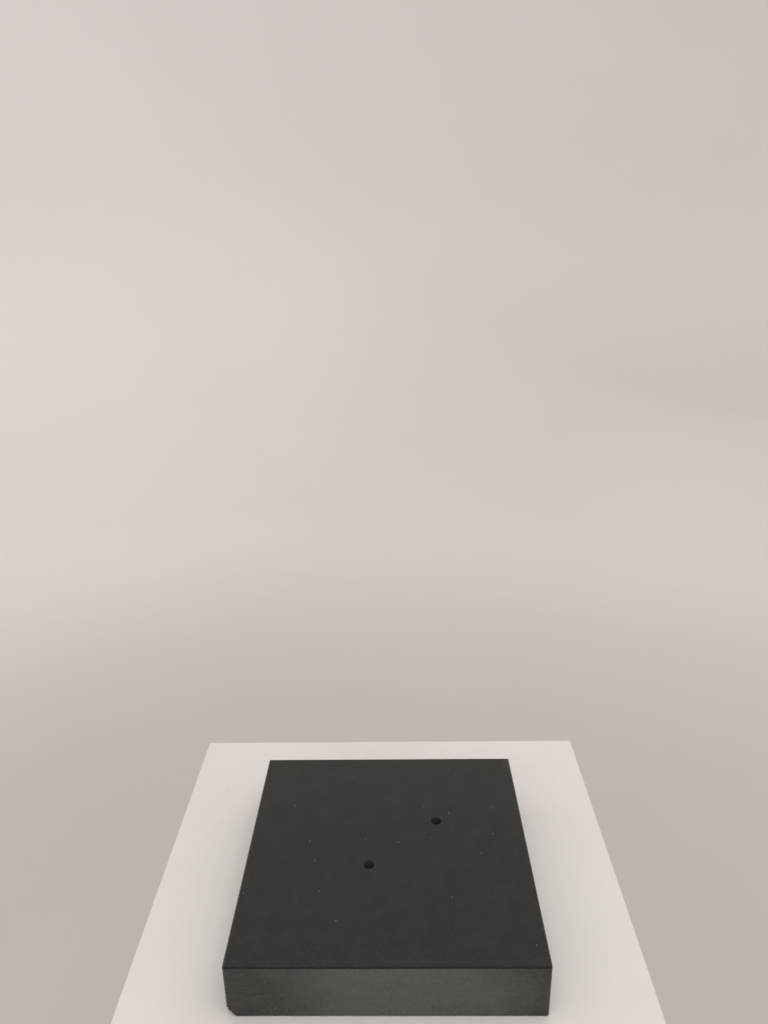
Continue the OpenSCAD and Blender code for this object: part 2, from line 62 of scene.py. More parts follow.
class Finish:
    """A Principled material whose detail comes from nodes in the part's own coordinates, in metres."""

    def __init__(self, name, color, roughness, metallic=0.0, specular=0.5):
        self.material = bpy.data.materials.new(name)
        self.material.use_nodes = True
        self.material.diffuse_color = (*color, 1)
        self.tree = self.material.node_tree
        self.bsdf = self.tree.nodes["Principled BSDF"]
        self.bsdf.inputs["Base Color"].default_value = (*color, 1)
        self.bsdf.inputs["Roughness"].default_value = roughness
        self.bsdf.inputs["Metallic"].default_value = metallic
        self.bsdf.inputs["Specular IOR Level"].default_value = specular
        self.position = self.add("ShaderNodeTexCoord").outputs["Object"]
        self.normal_out = None

    def add(self, kind, inputs=(), **properties):
        node = self.tree.nodes.new(kind)
        for key, value in properties.items():
            setattr(node, key, value)
        for key, value in dict(inputs).items():
            self.feed(node.inputs[key], value)
        return node

    def feed(self, socket, value):
        if isinstance(value, bpy.types.NodeSocket):
            self.tree.links.new(value, socket)
        else:
            socket.default_value = value

    def math(self, operation, a, b=0.0, c=0.0):
        return self.add("ShaderNodeMath", {0: a, 1: b, 2: c}, operation=operation).outputs[0]

    def stretched(self, scale, rotation=(0, 0, 0)):
        """The part's coordinates turned and stretched, for a texture that runs one way."""
        node = self.add("ShaderNodeMapping", {"Vector": self.position, "Scale": scale, "Rotation": rotation})
        return node.outputs["Vector"]

    def noise(self, scale, detail=3.0, roughness=0.5, distortion=0.0, vector=None):
        node = self.add("ShaderNodeTexNoise", {
            "Vector": vector or self.position, "Scale": scale, "Detail": detail,
            "Roughness": roughness, "Distortion": distortion})
        return node.outputs["Fac"]

    def cells(self, scale, vector=None, output="Distance"):
        node = self.add("ShaderNodeTexVoronoi", {"Vector": vector or self.position, "Scale": scale})
        return node.outputs[output]

    def spread(self, value, low, high, to_low=0.0, to_high=1.0):
        """Eases from to_low to to_high while the value goes from low to high."""
        node = self.add("ShaderNodeMapRange", {
            "Value": value, "From Min": low, "From Max": high, "To Min": to_low, "To Max": to_high},
            interpolation_type="SMOOTHSTEP")
        return node.outputs["Result"]

    def ramp(self, value, *stops):
        """A colour for each place between 0 and 1; stops are (place, colour)."""
        node = self.add("ShaderNodeValToRGB", {"Fac": value})
        points = node.color_ramp.elements
        while len(points) < len(stops):
            points.new(0.5)
        for point, (place, color) in zip(points, stops):
            point.position = place
            point.color = (*color, 1)
        return node.outputs["Color"]

    def mix(self, factor, a, b, blend_type="MIX"):
        node = self.add("ShaderNodeMix", data_type="RGBA", blend_type=blend_type)
        self.feed(node.inputs["Factor"], factor)
        for socket, value in ((node.inputs[6], a), (node.inputs[7], b)):
            self.feed(socket, (*value, 1) if isinstance(value, tuple) else value)
        return node.outputs[2]

    def blend_value(self, factor, a, b):
        node = self.add("ShaderNodeMix", data_type="FLOAT")
        for socket, value in zip((node.inputs[0], node.inputs[2], node.inputs[3]), (factor, a, b)):
            self.feed(socket, value)
        return node.outputs[0]

    def axes(self):
        return self.add("ShaderNodeSeparateXYZ", {0: self.position}).outputs

    def facing(self):
        """The surface's normal as x, y and z sockets."""
        geometry = self.add("ShaderNodeNewGeometry")
        return self.add("ShaderNodeSeparateXYZ", {0: geometry.outputs["Normal"]}).outputs

    def color(self, socket):
        self.tree.links.new(socket, self.bsdf.inputs["Base Color"])

    def roughness(self, socket):
        self.tree.links.new(socket, self.bsdf.inputs["Roughness"])

    def bump(self, height, distance, strength=1.0):
        """Adds relief: distance is the height in metres of a full step from 0 to 1."""
        node = self.add("ShaderNodeBump", {"Height": height, "Strength": strength, "Distance": distance})
        if self.normal_out:
            self.tree.links.new(self.normal_out, node.inputs["Normal"])
        self.normal_out = node.outputs["Normal"]
        self.tree.links.new(self.normal_out, self.bsdf.inputs["Normal"])


def inside_mask(finish):
    """1 on the faces that look into the box, 0 on its painted outside."""
    slack = 0.3 * MM
    x, y, z = finish.axes()
    wide = finish.math("LESS_THAN", finish.math("ABSOLUTE", x), INNER_X + slack)
    deep = finish.math("LESS_THAN", finish.math("ABSOLUTE", y), INNER_Y + slack)
    low = finish.math("LESS_THAN", z, PLINTH_TOP - TOP_BOARD + slack)
    return finish.math("MULTIPLY", finish.math("MULTIPLY", wide, deep), low)


# ---------------------------------------------------------------- materials

def white_paint():
    """Rolled satin paint over board, bare board on the faces inside the box."""
    f = Finish("white_paint", (0.82, 0.79, 0.77), 0.42)
    z = f.axes()[2]
    broad = f.noise(5.0, 3, 0.55)
    fine = f.noise(60, 4, 0.6)
    tone = f.ramp(broad, (0.30, (0.805, 0.778, 0.758)), (0.70, (0.840, 0.812, 0.793)))
    tone = f.mix(f.spread(fine, 0.35, 0.75, 0.0, 0.25), tone, (0.81, 0.780, 0.757))
    # Dust and shoe marks near the floor.
    rubbed = f.spread(f.noise(1.0, 6, 0.72, vector=f.stretched((26, 26, 95))), 0.54, 0.74, 0.0, 0.42)
    grime = f.spread(z, 0.030, 0.008, 0.0, 0.16)
    scuff = f.math("ADD", f.math("MULTIPLY", f.spread(z, 0.11, 0.0), rubbed), grime)
    tone = f.mix(scuff, tone, (0.43, 0.405, 0.375))
    # A few specks of dust in the paint.
    speck = f.spread(f.cells(11), 0.006, 0.012, 0.55, 0.0)
    tone = f.mix(speck, tone, (0.36, 0.33, 0.30))
    # One small knock on the top, behind the slab's left side.
    knock = f.add("ShaderNodeVectorMath", {0: f.position, 1: (-0.248, 0.184, PLINTH_TOP)}, operation="DISTANCE")
    tone = f.mix(f.spread(knock.outputs["Value"], 0.6 * MM, 1.3 * MM, 0.7, 0.0), tone, (0.22, 0.19, 0.16))
    fibre = f.noise(900, 3, 0.7)
    board = f.ramp(f.noise(140, 5, 0.75), (0.25, (0.33, 0.225, 0.135)), (0.75, (0.46, 0.335, 0.215)))
    inside = inside_mask(f)
    f.color(f.mix(inside, tone, board))
    gloss = f.spread(f.noise(9, 4, 0.6), 0.3, 0.7, 0.36, 0.47)
    f.roughness(f.blend_value(inside, f.blend_value(scuff, gloss, 0.7), 0.85))
    stipple = f.noise(420, 2, 0.5)
    f.bump(stipple, 0.05 * MM)
    f.bump(broad, 0.25 * MM, 0.6)
    f.bump(f.math("MULTIPLY", fibre, inside), 0.08 * MM)
    return f.material


def timber(name, axis):
    """Planed pine whose grain runs along one axis of the box."""
    f = Finish(name, (0.66, 0.46, 0.26), 0.55)

    def scales(across, along):
        return tuple(along if i == axis else across for i in range(3))

    warp = f.noise(2.3, 3, 0.5, vector=f.stretched(scales(7.0, 0.55)))
    slide = f.stretched(scales(9.0, 0.7), rotation=(0.31, 0.44, 0.27))
    rings = f.add("ShaderNodeTexWave", {
        "Vector": slide, "Scale": 4.2, "Distortion": 9.0, "Detail": 2.0, "Detail Scale": 0.7,
        "Phase Offset": f.math("MULTIPLY", warp, 14.0)}, wave_type="BANDS", bands_direction="DIAGONAL",
        wave_profile="SAW").outputs["Fac"]
    wood = f.ramp(rings, (0.0, (0.70, 0.49, 0.275)), (0.55, (0.66, 0.44, 0.235)), (0.9, (0.47, 0.27, 0.12)),
                  (1.0, (0.64, 0.42, 0.22)))
    pores = f.noise(1.0, 4, 0.7, vector=f.stretched(scales(1500, 28)))
    wood = f.mix(f.spread(pores, 0.35, 0.75, 0.0, 0.35), wood, (0.50, 0.32, 0.16))
    knot = f.cells(1.0, vector=f.stretched(scales(13.0, 4.5)))
    wood = f.mix(f.spread(knot, 0.045, 0.10, 0.9, 0.0), wood, (0.20, 0.095, 0.04))
    f.color(wood)
    f.roughness(f.spread(pores, 0.3, 0.7, 0.48, 0.66))
    f.bump(rings, 0.05 * MM)
    f.bump(pores, 0.06 * MM)
    return f.material


def plywood():
    """Birch plywood: rotary-cut face grain, and alternating plies on the edges and in the holes."""
    f = Finish("birch_plywood", (0.70, 0.55, 0.36), 0.5)
    _, y, z = f.axes()
    flow = f.noise(1.0, 4, 0.55, vector=f.stretched((2.2, 13.0, 6.0)))
    lines = f.math("SINE", f.math("MULTIPLY_ADD", flow, 46.0, f.math("MULTIPLY", y, 60.0)))
    streak = f.noise(1.0, 5, 0.7, vector=f.stretched((30, 700, 30)))
    face = f.ramp(f.spread(lines, -1.0, 1.0), (0.0, (0.735, 0.585, 0.395)), (0.7, (0.705, 0.545, 0.350)),
                  (1.0, (0.635, 0.470, 0.285)))
    face = f.mix(f.spread(f.noise(3.5, 3, 0.5), 0.35, 0.7, 0.0, 0.35), face, (0.65, 0.50, 0.325))
    face = f.mix(f.spread(streak, 0.35, 0.75, 0.0, 0.3), face, (0.56, 0.40, 0.23))
    ply = 1.4 * MM
    layer = f.math("DIVIDE", f.math("PINGPONG", z, ply), ply)
    edge = f.ramp(layer, (0.35, (0.66, 0.50, 0.31)), (0.55, (0.33, 0.215, 0.12)))
    up = f.math("ABSOLUTE", f.facing()[2])
    f.color(f.mix(f.spread(up, 0.4, 0.6), edge, face))
    f.roughness(f.spread(streak, 0.3, 0.7, 0.45, 0.62))
    f.bump(streak, 0.05 * MM)
    return f.material


def granite():
    """Polished black granite. The top mirrors the room and the sawn sides are honed. Painted reflection: the
    middle of each side is coloured a lighter grey, for the bright room it would mirror. Painted shade: the narrow
    ground arrises between them are coloured almost black."""
    f = Finish("black_granite", (0.013, 0.0125, 0.0105), 0.06, specular=0.5)
    x, y, _ = f.axes()
    nx, ny, nz = f.facing()
    up = f.spread(nz, 0.90, 0.99)
    upright = f.spread(f.math("ABSOLUTE", nz), 0.30, 0.10)
    cloud = f.noise(45, 5, 0.6)
    top = f.ramp(cloud, (0.30, (0.0122, 0.0113, 0.0078)), (0.72, (0.0196, 0.0182, 0.0135)))
    # Painted shade: the arrises are coloured almost black, darker than the stone itself.
    painted_dark_arris = (0.0030, 0.0026, 0.0020)
    # Painted reflection: the middle of each side is coloured a little lighter than its ends, for the bright room
    # it would mirror. The distance from the middle is x on the front and back and y on the left and right.
    ends = f.ramp(f.noise(420, 4, 0.65), (0.30, (0.0118, 0.0111, 0.0078)), (0.72, (0.0190, 0.0181, 0.0132)))
    middle = f.ramp(f.noise(300, 4, 0.65), (0.30, (0.062, 0.0640, 0.0570)), (0.72, (0.080, 0.0820, 0.0735)))
    offset = f.math("ADD", f.math("MULTIPLY", x, ny), f.math("MULTIPLY", y, nx))
    ragged = f.math("ADD", offset, f.spread(f.noise(7, 3, 0.6), 0.2, 0.8, -0.05, 0.05))
    side = f.mix(f.spread(f.math("ABSOLUTE", ragged), 0.04, 0.17, 1.0, 0.0), ends, middle)
    stone = f.mix(upright, f.mix(up, painted_dark_arris, top), side)
    # Crystals of a slightly different grey, and some that glint.
    grain = f.add("ShaderNodeSeparateColor", {0: f.cells(950, output="Color")}).outputs[0]
    shade = f.spread(grain, 0.0, 1.0, 0.78, 1.22)
    grey = f.add("ShaderNodeCombineXYZ", {0: shade, 1: shade, 2: shade}).outputs[0]
    stone = f.mix(1.0, stone, grey, "MULTIPLY")
    glint = f.spread(f.cells(620), 0.06, 0.20, 1.0, 0.0)
    glint = f.math("MULTIPLY", glint, f.spread(f.noise(210, 2, 0.5), 0.60, 0.66))
    stone = f.mix(f.math("MULTIPLY", glint, 0.42), stone, (0.17, 0.17, 0.15))
    # Stray grains of dust.
    dust = f.spread(f.cells(58), 0.026, 0.052, 0.75, 0.0)
    dust = f.math("MULTIPLY", dust, f.spread(f.noise(9, 2, 0.5), 0.30, 0.40))
    stone = f.mix(dust, stone, (0.24, 0.23, 0.19))
    # Faint strokes that a cloth has left along the sawn sides.
    stroke = f.noise(1.0, 3, 0.6, vector=f.stretched((30, 30, 420)))
    stroke = f.math("MULTIPLY", f.spread(stroke, 0.56, 0.72, 0.0, 0.22), upright)
    stone = f.mix(stroke, stone, (0.15, 0.148, 0.135))
    f.color(stone)
    smear = f.noise(6, 4, 0.6, vector=f.stretched((1.0, 2.6, 1.0), rotation=(0, 0, 0.5)))
    polish = f.spread(smear, 0.35, 0.75, 0.035, 0.085)
    hone = f.spread(cloud, 0.3, 0.7, 0.22, 0.30)
    f.roughness(f.blend_value(upright, f.math("ADD", polish, f.math("MULTIPLY", dust, 0.6)), hone))
    f.bump(f.noise(14, 2, 0.5), 0.02 * MM, 0.4)
    f.bump(f.math("MULTIPLY", f.noise(1600, 2, 0.6), upright), 0.005 * MM)
    return f.material


def broken_granite():
    """The unpolished break of the chipped corner."""
    f = Finish("broken_granite", (0.03, 0.029, 0.027), 0.55)
    crystal = f.add("ShaderNodeSeparateColor", {0: f.cells(800, output="Color")}).outputs[0]
    rough = f.ramp(f.noise(700, 4, 0.7), (0.3, (0.014, 0.0138, 0.0125)), (0.75, (0.062, 0.060, 0.054)))
    facets = f.ramp(crystal, (0.0, (0.012, 0.012, 0.011)), (1.0, (0.060, 0.058, 0.053)))
    f.color(f.mix(0.45, rough, facets))
    f.roughness(f.spread(f.noise(900, 3, 0.6), 0.3, 0.7, 0.35, 0.75))
    f.bump(f.noise(1100, 4, 0.7), 0.12 * MM)
    return f.material


def plated_steel():
    """Bright zinc plating with the faint yellow and blue bloom of passivation."""
    f = Finish("zinc_steel", (0.60, 0.61, 0.62), 0.28, metallic=1.0)
    bloom = f.noise(70, 4, 0.6, distortion=0.8)
    f.color(f.ramp(bloom, (0.30, (0.56, 0.585, 0.615)), (0.52, (0.63, 0.635, 0.63)), (0.72, (0.635, 0.61, 0.55))))
    f.roughness(f.spread(f.noise(240, 4, 0.7), 0.3, 0.7, 0.22, 0.42))
    f.bump(f.noise(2600, 2, 0.6), 0.006 * MM)
    return f.material


def lock_chrome():
    """Turned brass under dark satin chrome: fine rings round the lock's own axis."""
    f = Finish("lock_chrome", (0.50, 0.50, 0.50), 0.16, metallic=1.0)
    low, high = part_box("lock_housing")
    x, _, z = f.axes()
    dx = f.math("SUBTRACT", x, (low.x + high.x) / 2)
    dz = f.math("SUBTRACT", z, (low.z + high.z) / 2)
    radius = f.math("SQRT", f.math("ADD", f.math("MULTIPLY", dx, dx), f.math("MULTIPLY", dz, dz)))
    ring_step = 0.22 * MM
    rings = f.math("SINE", f.math("MULTIPLY", radius, 2 * math.pi / ring_step))
    wear = f.noise(500, 4, 0.7)
    f.color(f.ramp(wear, (0.3, (0.44, 0.44, 0.445)), (0.7, (0.56, 0.555, 0.55))))
    f.roughness(f.spread(wear, 0.3, 0.75, 0.12, 0.30))
    f.bump(rings, 0.004 * MM, 0.6)
    return f.material


def turned_brass():
    f = Finish("brass", (0.64, 0.44, 0.16), 0.3, metallic=1.0)
    stain = f.noise(160, 4, 0.65)
    f.color(f.ramp(stain, (0.3, (0.50, 0.32, 0.105)), (0.7, (0.70, 0.50, 0.20))))
    f.roughness(f.spread(stain, 0.3, 0.7, 0.24, 0.45))
    mark_step = 0.3 * MM
    marks = f.math("SINE", f.math("MULTIPLY", f.axes()[2], 2 * math.pi / mark_step))
    f.bump(marks, 0.005 * MM, 0.6)
    return f.material


def moulded(name, dark, light, roughness):
    """Moulded plastic with a fine spark-eroded grain."""
    f = Finish(name, dark, roughness)
    grain = f.noise(1300, 3, 0.6)
    f.color(f.ramp(f.noise(60, 3, 0.6), (0.3, dark), (0.75, light)))
    f.roughness(f.spread(grain, 0.3, 0.7, roughness - 0.06, roughness + 0.10))
    f.bump(grain, 0.03 * MM)
    return f.material


def cellular(name, dark, light, size, depth):
    """Rubber or foam with open cells of the given size."""
    f = Finish(name, dark, 0.85, specular=0.3)
    cell = f.cells(1 / size)
    f.color(f.ramp(cell, (0.15, dark), (0.75, light)))
    f.roughness(f.spread(cell, 0.2, 0.8, 0.92, 0.78))
    f.bump(cell, depth)
    return f.material


def canvas():
    """Undyed cotton canvas: a plain weave with uneven yarns and some handling dirt."""
    f = Finish("canvas", (0.47, 0.40, 0.29), 0.9, specular=0.2)
    f.bsdf.inputs["Sheen Weight"].default_value = 0.25
    f.bsdf.inputs["Sheen Roughness"].default_value = 0.5
    x, y, z = f.axes()
    yarn_pair = 1.5 * MM
    yarn = 2 * math.pi / yarn_pair
    wobble = f.math("MULTIPLY", f.noise(240, 2, 0.5), 1.6)
    warp = f.math("SINE", f.math("ADD", f.math("MULTIPLY", f.math("ADD", x, z), yarn), wobble))
    slant = f.math("SUBTRACT", y, f.math("MULTIPLY", z, 0.35))
    weft = f.math("SINE", f.math("ADD", f.math("MULTIPLY", slant, yarn), wobble))
    weave = f.math("MULTIPLY_ADD", f.math("MULTIPLY", warp, weft), 0.5, 0.5)
    slub = f.noise(1.0, 4, 0.7, vector=f.stretched((900, 60, 60)))
    cloth = f.ramp(weave, (0.0, (0.34, 0.28, 0.19)), (0.55, (0.52, 0.445, 0.325)), (1.0, (0.60, 0.525, 0.395)))
    cloth = f.mix(f.spread(slub, 0.4, 0.75, 0.0, 0.35), cloth, (0.42, 0.35, 0.24))
    dirt = f.spread(f.noise(14, 5, 0.65), 0.48, 0.75, 0.0, 0.45)
    f.color(f.mix(dirt, cloth, (0.27, 0.225, 0.16)))
    f.roughness(f.spread(weave, 0.0, 1.0, 0.95, 0.82))
    f.bump(weave, 0.28 * MM)
    f.bump(f.noise(60, 4, 0.6), 0.9 * MM, 0.6)
    return f.material


def sewing_thread():
    f = Finish("sewing_thread", (0.13, 0.12, 0.11), 0.75)
    twist = f.noise(1.0, 2, 0.5, vector=f.stretched((2600, 1500, 1500), rotation=(0.4, 0.3, 0.6)))
    f.color(f.ramp(twist, (0.3, (0.075, 0.07, 0.062)), (0.7, (0.19, 0.175, 0.155))))
    f.bump(twist, 0.1 * MM)
    return f.material


def plaster(name):
    """The plain pale floor and the wall that rises from it, which glow softly away from the plinth."""
    f = Finish(name, (0.72, 0.685, 0.665), 0.8, specular=0.2)
    x, y, z = f.axes()
    patch = f.noise(0.9, 4, 0.55)
    floor = f.ramp(patch, (0.3, (0.635, 0.600, 0.578)), (0.7, (0.660, 0.625, 0.603)))
    wall = f.ramp(patch, (0.3, (0.775, 0.745, 0.730)), (0.7, (0.795, 0.765, 0.750)))
    f.color(f.mix(f.spread(z, 0.0, 1.6), floor, wall))
    f.bump(f.noise(220, 3, 0.6), 0.05 * MM)
    # Painted light: the floor and wall emit light of their own away from the plinth, less of it high on the wall
    # and more on the left than on the right.
    radius = f.math("SQRT", f.math("ADD", f.math("MULTIPLY", x, x), f.math("MULTIPLY", y, y)))
    far = f.math("MULTIPLY", f.spread(radius, 1.0, 3.3), f.spread(z, 0.3, 2.0, 1.0, 0.66))
    glow = f.math("MULTIPLY", far, f.spread(x, -2.6, 2.2, 0.24, 0.13))
    f.bsdf.inputs["Emission Color"].default_value = (1.0, 0.965, 0.945, 1)
    f.tree.links.new(glow, f.bsdf.inputs["Emission Strength"])
    return f.material


PAINT = white_paint()
PINE = [timber(f"pine_{name}", axis) for axis, name in enumerate("xyz")]
PLYWOOD = plywood()
GRANITE = granite()
BREAK = broken_granite()
STEEL = plated_steel()
CHROME = lock_chrome()
BRASS = turned_brass()
BLACK_NYLON = moulded("black_nylon", (0.014, 0.014, 0.015), (0.024, 0.024, 0.025), 0.45)
WHITE_NYLON = moulded("white_nylon", (0.68, 0.67, 0.62), (0.76, 0.75, 0.71), 0.38)
NEOPRENE = cellular("neoprene", (0.010, 0.010, 0.010), (0.022, 0.022, 0.022), 0.5 * MM, 0.03 * MM)
FOAM = cellular("seal_foam", (0.012, 0.012, 0.013), (0.045, 0.045, 0.047), 0.7 * MM, 0.2 * MM)
CANVAS = canvas()
THREAD = sewing_thread()


# ---------------------------------------------------------------- finishes and small bevels on CAD nodes

def dress(name, material, bevel=0.0):
    """Gives a CAD node its material and, where the real edge is eased, a small bevel."""
    piece = NODES[name]
    piece.data.materials.clear()
    piece.data.materials.append(material)
    if bevel:
        weld = piece.modifiers.new("weld", "WELD")
        weld.merge_threshold = WELD
        ease = piece.modifiers.new("ease", "BEVEL")
        ease.width = bevel
        ease.segments = 2
        ease.limit_method = "ANGLE"
        ease.angle_limit = math.radians(40)
        ease.miter_outer = "MITER_ARC"
        ease.harden_normals = False


def dress_all():
    for name in ("front_panel", "left_panel", "right_panel", "back_panel", "top_panel"):
        dress(name, PAINT)
    dress("access_door", PAINT, 0.7 * MM)
    for name in ("deck_board", "base_board"):
        dress(name, PLYWOOD)
    for corner in CORNERS:
        dress("corner_post_" + corner, PINE[2], 1.2 * MM)
        dress("foot_pad_" + corner, BLACK_NYLON, 0.5 * MM)
    for side, axis in (("front", 0), ("back", 0), ("left", 1), ("right", 1)):
        dress("upper_rail_" + side, PINE[axis], 1.2 * MM)
        dress("lower_rail_" + side, PINE[axis], 1.2 * MM)
    for name in ("deck_bearer_left", "deck_bearer_right"):
        dress(name, PINE[1], 1.2 * MM)
    dress("door_stop_batten", PINE[2], 0.5 * MM)
    dress("door_seal", FOAM)
    for name in ("lock_nut", "lock_cam", "lock_keeper", "pivot_pin_upper", "pivot_pin_lower",
                 "slab_bolts", "slab_bolt_washers", "foot_inserts", "foot_lock_nuts"):
        dress(name, STEEL, 0.25 * MM)
    for name in ("panel_screws", "deck_screws", "base_screws", "batten_screws", "keeper_screws",
                 "lock_cam_screw", "pivot_spring"):
        dress(name, STEEL)
    for name in ("lock_housing", "lock_plug"):
        dress(name, CHROME, 0.25 * MM)
    dress("pivot_bushes", BRASS, 0.15 * MM)
    dress("slab_anchors", BRASS)
    dress("pivot_washer", WHITE_NYLON)
    dress("slab_cushion", NEOPRENE, 0.3 * MM)


# ---------------------------------------------------------------- new pieces

def add_piece(name, mesh, body, slot, *materials):
    piece = bpy.data.objects.new(name, mesh)
    SCENE.collection.objects.link(piece)
    for material in materials:
        mesh.materials.append(material)
    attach(piece, body)
    return piece


def mesh_from(name, bm):
    mesh = bpy.data.meshes.new(name)
    bmesh.ops.recalc_face_normals(bm, faces=bm.faces)
    bm.to_mesh(mesh)
    bm.free()
    return mesh


def apply_modifiers(piece):
    """Replaces the piece's mesh with its evaluated one and drops the modifiers."""
    evaluated = piece.evaluated_get(bpy.context.evaluated_depsgraph_get())
    mesh = bpy.data.meshes.new_from_object(evaluated)
    piece.modifiers.clear()
    piece.data = mesh


def carve(piece, tool_mesh):
    """Subtracts a closed mesh from a piece."""
    tool = bpy.data.objects.new(tool_mesh.name, tool_mesh)
    SCENE.collection.objects.link(tool)
    cut = piece.modifiers.new("carve", "BOOLEAN")
    cut.operation = "DIFFERENCE"
    cut.solver = "EXACT"
    cut.material_mode = "TRANSFER"
    cut.object = tool
    apply_modifiers(piece)
    bpy.data.objects.remove(tool)


def smooth(piece, degrees):
    """Shades smooth across edges flatter than an angle, in place of any normals that came with the CAD mesh."""
    mesh = piece.data
    stored = mesh.attributes.get("custom_normal")
    if stored:
        mesh.attributes.remove(stored)
    mesh.polygons.foreach_set("use_smooth", [True] * len(mesh.polygons))
    mesh.set_sharp_from_angle(angle=math.radians(degrees))


# ---------------------------------------------------------------- the slab

def polished_slab():
    """The CAD slab with a shell-shaped break where its front left bottom corner has chipped."""
    bm = bmesh.new()
    bm.from_mesh(NODES["stone_slab"].data)
    bmesh.ops.remove_doubles(bm, verts=bm.verts, dist=WELD)
    slab = add_piece("polished_slab", mesh_from("polished_slab", bm), "plinth", "black_granite", GRANITE, BREAK)

    # The tool that breaks the corner is a rough ball, which leaves shell-shaped scars.
    tool_mesh = bpy.data.meshes.new("flake_tool")
    ball = bmesh.new()
    bmesh.ops.create_icosphere(ball, subdivisions=5, radius=1.0)
    centre = Vector((SLAB_LOW.x - 4.5 * MM, SLAB_LOW.y - 4.0 * MM, SLAB_LOW.z - 2.0 * MM))
    reach = Vector((15.0 * MM, 12.5 * MM, 18.2 * MM))
    for v in ball.verts:
        way = v.co.normalized()
        scar = noise.noise(way * 2.3 + Vector((3, 1, 7))) * 0.16
        grit = noise.noise(way * 11 + Vector((9, 4, 2))) * 0.035 + noise.noise(way * 31) * 0.016
        ripple = 0.010 * math.sin(26 * (way.z + 0.4 * way.x))
        size = 1 + scar + grit + ripple
        v.co = centre + Vector((way.x * reach.x, way.y * reach.y, way.z * reach.z)) * size
    ball.to_mesh(tool_mesh)
    ball.free()
    tool_mesh.materials.append(BREAK)
    carve(slab, tool_mesh)
    smooth(slab, 28)
    # Long flat faces keep their own direction where they meet the rounded upright edges.
    level = slab.modifiers.new("level", "WEIGHTED_NORMAL")
    level.mode = "FACE_AREA"
    level.weight = 100
    level.keep_sharp = True
    apply_modifiers(slab)
    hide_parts("stone_slab")


# ---------------------------------------------------------------- threaded spindles of the feet

PITCH = 1.75 * MM
CREST, ROOT = 5.9 * MM, 4.95 * MM      # radii of the M12 thread
COLLAR_TOP = 23.0 * MM                 # the thread starts just above the spindle's hexagon collar
SOCKET_R, SOCKET_DEPTH = 3.46 * MM, 8.0 * MM


def cut_off(bm, height, direction):
    """Removes what lies above a height, or below it where direction is -1. Returns the open rim."""
    geometry = bm.verts[:] + bm.edges[:] + bm.faces[:]
    bmesh.ops.bisect_plane(bm, geom=geometry, plane_co=(0, 0, height), plane_no=(0, 0, direction),
                           clear_outer=True, dist=1e-7)
    return [e for e in bm.edges if e.is_boundary and all(abs(v.co.z - height) < 1e-6 for v in e.verts)]


def threaded_rod(name, centre, low, high):
    """A rod along Z with a real helical thread between two heights."""
    bm = bmesh.new()
    around = 36
    shares = ((0.0, CREST), (0.14, CREST), (0.45, ROOT), (0.69, ROOT))
    turns = int((high - low) / PITCH) + 3
    rows = []
    for turn in range(-1, turns):
        for share, radius in shares:
            ring = []
            for i in range(around):
                angle = 2 * math.pi * i / around
                height = low + PITCH * (turn + share + i / around)
                ring.append(bm.verts.new((centre[0] + radius * math.cos(angle),
                                          centre[1] + radius * math.sin(angle), height)))
            rows.append(ring)
    for r in range(len(rows) - 1):
        for i in range(around):
            if i < around - 1:
                corners = (rows[r][i], rows[r][i + 1], rows[r + 1][i + 1], rows[r + 1][i])
            elif r + len(shares) + 1 < len(rows):
                corners = (rows[r][i], rows[r + len(shares)][0], rows[r + len(shares) + 1][0], rows[r + 1][i])
            else:
                continue
            bm.faces.new(corners)
    for height, direction in ((low, -1), (high, 1)):
        bmesh.ops.contextual_create(bm, geom=cut_off(bm, height, direction))
    return mesh_from(name, bm)


def prism(name, centre, low, high, radius, sides):
    bm = bmesh.new()
    rings = [[bm.verts.new((centre[0] + radius * math.cos(2 * math.pi * i / sides),
                            centre[1] + radius * math.sin(2 * math.pi * i / sides), z)) for i in range(sides)]
             for z in (low, high)]
    for i in range(sides):
        j = (i + 1) % sides
        bm.faces.new((rings[0][i], rings[0][j], rings[1][j], rings[1][i]))
    bm.faces.new(rings[0][::-1])
    bm.faces.new(rings[1])
    return mesh_from(name, bm)


def threaded_spindle(corner):
    """The CAD spindle with a real M12 thread above its collar and the hexagon socket in its end."""
    node = "foot_spindle_" + corner
    low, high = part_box(node)
    centre = ((low.x + high.x) / 2, (low.y + high.y) / 2)
    bm = bmesh.new()
    bm.from_mesh(NODES[node].data)
    bmesh.ops.remove_doubles(bm, verts=bm.verts, dist=WELD)
    bmesh.ops.edgeloop_fill(bm, edges=cut_off(bm, COLLAR_TOP + 0.3 * MM, 1))
    rod = threaded_rod(node, centre, COLLAR_TOP - 0.5 * MM, high.z)
    bm.from_mesh(rod)
    name = "threaded_spindle_" + corner
    spindle = add_piece(name, mesh_from(name, bm), "spindle_" + corner, "zinc_steel", STEEL)
    carve(spindle, prism("socket_tool", centre, high.z - SOCKET_DEPTH, high.z + 1 * MM, SOCKET_R, 6))
    smooth(spindle, 32)
    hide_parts(node)


# ---------------------------------------------------------------- sandbags

CLOTH_W, CLOTH_L = 0.228, 0.428   # the empty sack across its middle, and between its end seams
HEM = 9.0 * MM                    # cloth left outside each end seam
# Distance out from the seam and half thickness of the hem's two cloths.
HEM_SECTION = ((-2.0 * MM, 0.75 * MM), (0.0, 0.80 * MM), (HEM * 0.5, 0.70 * MM), (HEM, 0.60 * MM))
ACROSS, ALONG = 32, 60            # quads of the simulated cloth
# Each sack's place, the pressure that fills it, and how far its top has slumped.
BAGS = (("lower_left", 4.5, 0.0), ("lower_right", 4.0, 0.0),
        ("upper_left", 3.6, 7 * MM), ("upper_right", 4.2, 5 * MM))


